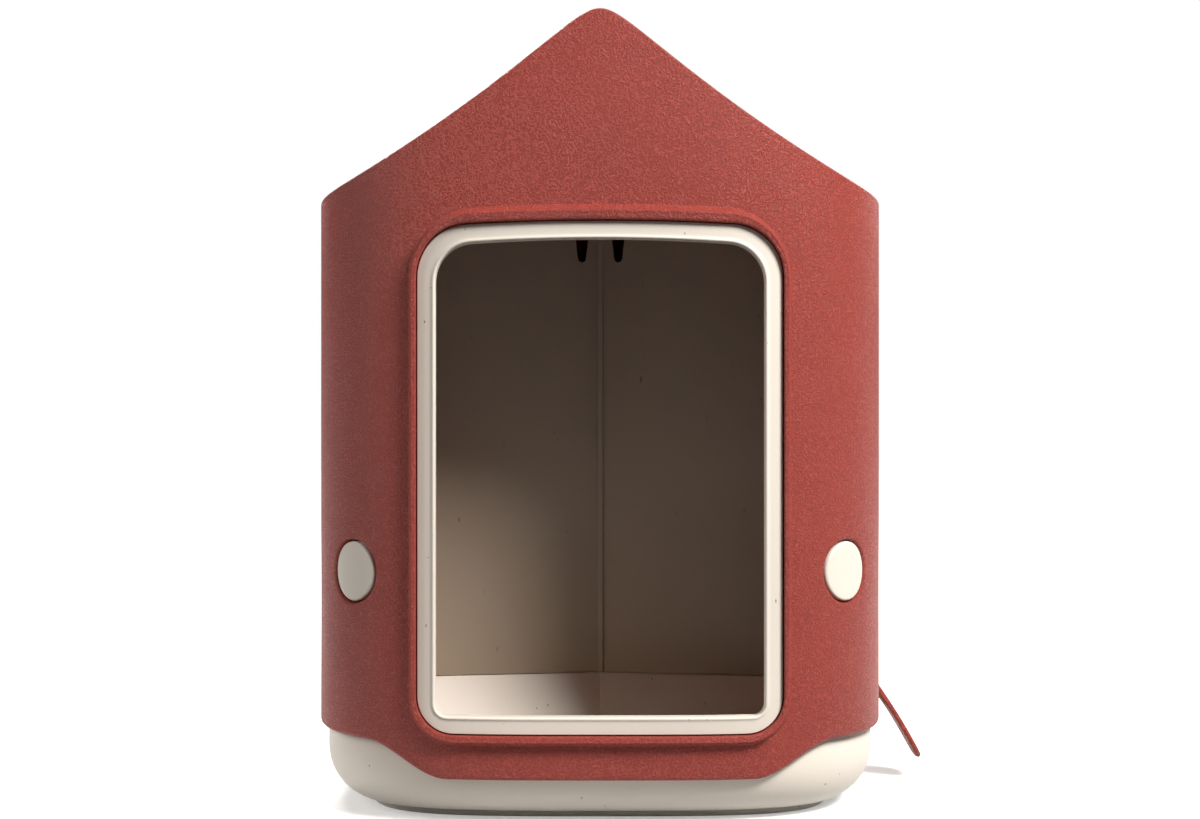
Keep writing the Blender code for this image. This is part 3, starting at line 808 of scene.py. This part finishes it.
class BIRDHOUSE_OT_housing(PieceOperator):
    """Makes the inner housing with its window frame and its round entrance"""

    bl_idname = "birdhouse.housing"
    bl_label = "Inner housing"

    wall_rows = 8
    socket_gap = 0.0020
    outer_edge = 0.0003
    bead_height = 0.0003
    flat_shares = (0.2, 0.4, 0.6, 0.8, 0.96)
    bead_foot = ((0.85, 0.35), (0.68, 0.85))

    def execute(self, context):
        cover = context.scene.birdhouse_cover
        inner = context.scene.birdhouse_inner

        def place(column, row):
            x, y = plan_point(column, housing_inset)
            low, high = housing_low.z, roof_height(x) - housing_inset * roof_stretch(x)
            return Vector((x, y, low + (high - low) * row / self.wall_rows))

        walls = wrapped_grid("housing_walls", plan_columns, self.wall_rows, place)
        thicken(walls, inner.wall)
        play = inner.frame_play
        cut(walls, outline_cutter(rim_outline(cover, 1, play * 2), -half_depth * 2, 0))
        plate_radius = cover.collar_inner - play
        cut(walls, outline_cutter(circle_outline(plate_radius - play, inner.entrance_height), 0, half_depth * 2))
        for _, patch in button_patches(inner):
            cut(walls, corner_cutter(patch, inner.button_hole + self.socket_gap, half_depth / 2))
        finish_piece(walls, "house", "cover_plastic", crisp_angle, "inner_housing")

        low = -housing_inset - inner.wall
        frame_top = inner.frame_proud - self.bead_height
        section = self.lipped_section(inner.frame_band - play, low, frame_top, inner.lip_radius)
        window = rounded_outline(
            cover.rim_half_width - inner.frame_band,
            inner.window_bottom,
            inner.window_top,
            inner.window_low_radius,
            inner.window_high_radius,
            inner.window_arch,
        )
        frame_ring = swept_ring("window_frame", front, rim_outline(cover, 1, play), window, section)
        finish_piece(frame_ring, "house", "inner_plastic", usual_angle, "inner_housing")
        band = plate_radius - inner.entrance_radius
        section = self.lipped_section(band, low, -inner.plate_drop - self.bead_height, inner.lip_radius)
        ring_outer = circle_outline(plate_radius, inner.entrance_height)
        ring_inner = circle_outline(inner.entrance_radius, inner.entrance_height)
        plate = swept_ring("entrance_plate", back, ring_outer, ring_inner, section)
        finish_piece(plate, "house", "inner_plastic", usual_angle, "inner_housing")
        return {"FINISHED"}

    def lipped_section(self, band, low, high, radius):
        """Flat band with a raised round bead along its inner edge."""
        bead = self.bead_height
        rise = radius * 2 / band
        points = [(0, low), (0, high - self.outer_edge), (self.outer_edge / band, high)]
        points += [((1 - rise) * share, high) for share in self.flat_shares]
        points += [(1 - rise * share, high + bead * up) for share, up in self.bead_foot]
        for angle in quarter_turn(round_steps):
            share = 1 - radius * (1 - math.sin(angle)) / band
            points.append((share, high + bead - radius * (1 - math.cos(angle))))
        for angle in quarter_turn(lip_steps):
            points.append((1 - radius * (1 - math.cos(angle)) / band, low + radius * (1 - math.sin(angle))))
        return points + [(0.6, low), (0.3, low)]


class BIRDHOUSE_OT_inside(PieceOperator):
    """Finishes the partition, its rails, the seed ramp and the button sockets"""

    bl_idname = "birdhouse.inside"
    bl_label = "Inside parts"

    def execute(self, context):
        dress_node("seed_ramp", "inner_plastic")
        names = ["partition", "partition_rail_left", "partition_rail_right"]
        names += ["button_socket_" + corner_name(*corner) for corner in corners]
        # Partition, rails and sockets get the painted-shade copy of the off-white plastic
        for name in names:
            dress_node(name, "inside")
        return {"FINISHED"}


class BIRDHOUSE_OT_base(PieceOperator):
    """Makes the round-footed tray and finishes the foot plate and its screws"""

    bl_idname = "birdhouse.base"
    bl_label = "Base"

    rim_round = 0.0006
    foot_chamfer = 0.0004
    screw_gap = 0.0004
    screw_bore_depth = 0.02
    bowl_steps = 12

    def execute(self, context):
        inner = context.scene.birdhouse_inner
        rim_round = self.rim_round
        tray_inset = half_width + tray_low.x
        round_width = foot_inset - tray_inset
        bottom = tray_low.z
        profile = []
        for step in range(self.bowl_steps + 1):
            angle = math.pi / 2 * (step / self.bowl_steps - 1)
            inset = foot_inset - round_width * math.cos(angle)
            profile.append((inset, bottom + inner.tray_round * (1 + math.sin(angle))))
        profile.append((tray_inset, tray_high.z - rim_round))
        profile.append((tray_inset + rim_round * 0.3, tray_high.z - rim_round * 0.3))
        profile.append((tray_inset + rim_round, tray_high.z))
        profile.append((tray_inset + inner.wall - rim_round, tray_high.z))
        profile.append((tray_inset + inner.wall, tray_high.z - rim_round))
        for angle in quarter_turn(self.bowl_steps):
            inset = foot_inset - (round_width - inner.wall) * math.cos(angle)
            profile.append((inset, bottom + inner.tray_round - (inner.tray_round - inner.wall) * math.sin(angle)))
        tray = plan_body("tray_shell", profile, bottom, bottom + inner.wall)
        finish_piece(tray, "base", "inner_plastic", tray_angle, "base_tray")

        chamfer = self.foot_chamfer
        foot_profile = [(foot_inset + chamfer, foot_low.z), (foot_inset, foot_low.z + chamfer)]
        foot_profile += [(foot_inset, foot_high.z - chamfer), (foot_inset + chamfer, foot_high.z)]
        foot = plan_body("foot_disc", foot_profile, foot_low.z, foot_high.z)
        for corner in corners:
            screw = "foot_screw_" + corner_name(*corner)
            low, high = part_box(screw)
            middle = (low + high) / 2
            deselect()
            bpy.ops.mesh.primitive_cylinder_add(
                vertices=circle_points // 2,
                radius=(high.x - low.x) / 2 + self.screw_gap,
                depth=self.screw_bore_depth,
                location=(middle.x, middle.y, 0),
            )
            cut(foot, bpy.context.object)
            dress_node(screw, "screw_steel")
        finish_piece(foot, "base", "inner_plastic", crisp_angle, "foot_plate")
        return {"FINISHED"}


class BIRDHOUSE_OT_buttons(PieceOperator):
    """Makes the four round buttons, whose faces follow the cover's corners"""

    bl_idname = "birdhouse.buttons"
    bl_label = "Buttons"

    columns = 64
    face_rings = 6
    edge_round = 0.0009
    stem_radius = 0.0032
    snap_radius = 0.0046
    snap_depth = 0.0118
    snap_height = 0.002

    def execute(self, context):
        inner = context.scene.birdhouse_inner
        for name, patch in button_patches(inner):
            button = self.button(inner, patch, "push_button_" + name)
            finish_piece(button, "button_" + name, "inner_plastic", usual_angle, "button_" + name)
        return {"FINISHED"}

    def button(self, inner, patch, name):
        """Turned button: curved face, round edge, cap, stem and snap head."""
        edge = self.edge_round
        radius = inner.button_radius
        depth, snap = inner.button_depth, self.snap_depth
        face = [(radius - edge) * step / self.face_rings for step in range(self.face_rings + 1)]
        top = [(reach, -inner.button_recess) for reach in face]
        for angle in quarter_turn(lip_steps)[1:]:
            rim = radius - edge * (1 - math.sin(angle))
            top.append((rim, -inner.button_recess - edge * (1 - math.cos(angle))))
        stem = [(radius, -depth), (self.stem_radius, -depth), (self.stem_radius, -snap), (self.snap_radius, -snap)]
        stem += [(self.stem_radius, -snap - self.snap_height), (0, -snap - self.snap_height)]
        outward = Vector((patch.outward.x, patch.outward.y, 0))
        tangent = Vector((patch.tangent.x, patch.tangent.y, 0))
        centre = patch.point(0, 0, 0)

        def place(column, row):
            angle = math.tau * (column % self.columns) / self.columns
            if row < len(top):
                reach, lift = top[row]
                return patch.point(reach * math.cos(angle), reach * math.sin(angle), lift)
            reach, lift = stem[row - len(top)]
            across = tangent * (reach * math.cos(angle))
            return centre + across + Vector((0, 0, reach * math.sin(angle))) + outward * lift

        return wrapped_grid(name, self.columns, len(top) + len(stem) - 1, place)


def dress_node(name, finish):
    """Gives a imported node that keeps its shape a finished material."""
    node = nodes[name]
    node.data.materials.clear()
    node.data.materials.append(find_material(finish))


class BIRDHOUSE_OT_stage(PieceOperator):
    """Makes the pale floor, the lamps, the sky and the camera"""

    bl_idname = "birdhouse.stage"
    bl_label = "Stage"

    # Side and rise in degrees, size in metres
    key_size = 0.46
    fill_place = (-78, 24, 0.8)
    nest_key_side = 205
    nest_fill_place = (150, 28, 0.9)
    nest_fill_share = 0.4
    floor_radius = 4
    floor_points = 128
    far_bounce = 0.03

    def execute(self, context):
        scene = context.scene
        stage = scene.birdhouse_stage
        scene.view_settings.view_transform = "Standard"
        self.floor(stage)
        key_place = (stage.key_side, stage.key_rise, self.key_size)
        nest_key_place = (self.nest_key_side, stage.key_rise, self.key_size)
        self.lamp("key_lamp", *key_place, stage.key_power, warm_light)
        self.lamp("fill_lamp", *self.fill_place, stage.fill_power, fill_light)
        self.lamp("nest_key_lamp", *nest_key_place, stage.nest_power, warm_light)
        self.lamp("nest_fill_lamp", *self.nest_fill_place, stage.nest_power * self.nest_fill_share, fill_light)
        self.sky(scene, stage)
        camera_data = bpy.data.cameras.new("camera")
        camera_data.sensor_width = sensor_width
        camera_data.lens = sensor_width * stage.camera_distance / (photo_width * photo_scale)
        camera = bpy.data.objects.new("camera", camera_data)
        scene.collection.objects.link(camera)
        camera.location = (0, -half_depth - stage.camera_distance, stage.camera_height)
        camera.rotation_euler = (math.pi / 2, 0, 0)
        scene.camera = camera
        return {"FINISHED"}

    def floor(self, stage):
        """Flat pale disc that shows white to the camera and keeps the shadow."""
        deselect()
        bpy.ops.mesh.primitive_circle_add(
            vertices=self.floor_points, radius=self.floor_radius, fill_type="NGON", location=(0, 0, rest_height)
        )
        floor = bpy.context.object
        floor.name = "floor"
        shader, tree, surface = new_material("floor_paint")
        path = tree.nodes.new("ShaderNodeLightPath")
        seen = add_math(tree, "MAXIMUM", path.outputs["Is Camera Ray"], path.outputs["Is Glossy Ray"])
        seen = add_math(tree, "MAXIMUM", seen, path.outputs["Is Transmission Ray"])
        place = tree.nodes.new("ShaderNodeTexCoord")
        reach = tree.nodes.new("ShaderNodeVectorMath")
        reach.operation = "LENGTH"
        feed(tree, reach, {0: place.outputs["Object"]})
        far = add_range(tree, reach.outputs["Value"], half_width, half_width * 2, 0, 1)
        near_colour = scaled_colour(stage.floor_colour, stage.floor_bounce)
        bounce = add_mix(tree, far, near_colour, scaled_colour(stage.floor_colour, self.far_bounce))
        glow = add_range(tree, reach.outputs["Value"], stage.fade_start, stage.fade_end, stage.floor_glow, 1)
        feed(tree, surface, {
            "Base Color": add_mix(tree, seen, bounce, stage.floor_colour),
            "Roughness": 0.9,
            "Specular IOR Level": 0,
            "Emission Color": (1, 1, 1, 1),
            "Emission Strength": add_math(tree, "MULTIPLY", seen, glow),
        })
        floor.data.materials.append(shader)

    def lamp(self, name, side, rise, size, power, colour):
        """Round lamp that is turned to the house, side degrees to the right of the feeder window."""
        side, rise = math.radians(side), math.radians(rise)
        aim = Vector((0, 0, ridge_height / 2))
        toward = Vector((math.sin(side) * math.cos(rise), -math.cos(side) * math.cos(rise), math.sin(rise)))
        data = bpy.data.lights.new(name, "AREA")
        data.shape = "DISK"
        data.size = size
        data.energy = power
        data.color = colour
        lamp = bpy.data.objects.new(name, data)
        bpy.context.scene.collection.objects.link(lamp)
        lamp.location = aim + toward * lamp_distance
        lamp.rotation_euler = toward.to_track_quat("Z", "Y").to_euler()

    def sky(self, scene, stage):
        """Even light, white where the camera or a reflection sees it."""
        world = bpy.data.worlds.new("studio")
        scene.world = world
        world.use_nodes = True
        tree = world.node_tree
        path = tree.nodes.new("ShaderNodeLightPath")
        seen = add_math(tree, "MAXIMUM", path.outputs["Is Camera Ray"], path.outputs["Is Transmission Ray"])
        strength = add_math(tree, "MULTIPLY", seen, 1 - stage.sky_strength)
        strength = add_math(tree, "ADD", strength, stage.sky_strength)
        feed(tree, tree.nodes["Background"], {"Color": (1, 1, 1, 1), "Strength": strength})


class VIEW3D_PT_birdhouse(Panel):
    """Lists the steps and the settings that they use"""

    bl_label = "Birdhouse Feeder"
    bl_space_type = "VIEW_3D"
    bl_region_type = "UI"
    bl_category = "Birdhouse"

    def draw(self, context):
        layout = self.layout
        for step in steps:
            layout.operator(step.bl_idname)
        scene = context.scene
        for settings in (scene.birdhouse_cover, scene.birdhouse_inner, scene.birdhouse_stage):
            box = layout.box()
            for name in settings.__annotations__:
                box.prop(settings, name)


steps = (
    BIRDHOUSE_OT_cover,
    BIRDHOUSE_OT_tab,
    BIRDHOUSE_OT_housing,
    BIRDHOUSE_OT_inside,
    BIRDHOUSE_OT_base,
    BIRDHOUSE_OT_buttons,
    BIRDHOUSE_OT_stage,
)
classes = (CoverSettings, InnerSettings, StageSettings, *steps, VIEW3D_PT_birdhouse)


def register():
    for item in classes:
        bpy.utils.register_class(item)
    bpy.types.Scene.birdhouse_cover = PointerProperty(type=CoverSettings)
    bpy.types.Scene.birdhouse_inner = PointerProperty(type=InnerSettings)
    bpy.types.Scene.birdhouse_stage = PointerProperty(type=StageSettings)


def unregister():
    del bpy.types.Scene.birdhouse_cover
    del bpy.types.Scene.birdhouse_inner
    del bpy.types.Scene.birdhouse_stage
    for item in reversed(classes):
        bpy.utils.unregister_class(item)


def main():
    register()
    bpy.ops.birdhouse.cover()
    bpy.ops.birdhouse.tab()
    bpy.ops.birdhouse.housing()
    bpy.ops.birdhouse.inside()
    bpy.ops.birdhouse.base()
    bpy.ops.birdhouse.buttons()
    bpy.ops.birdhouse.stage()


if __name__ == "__main__":
    main()
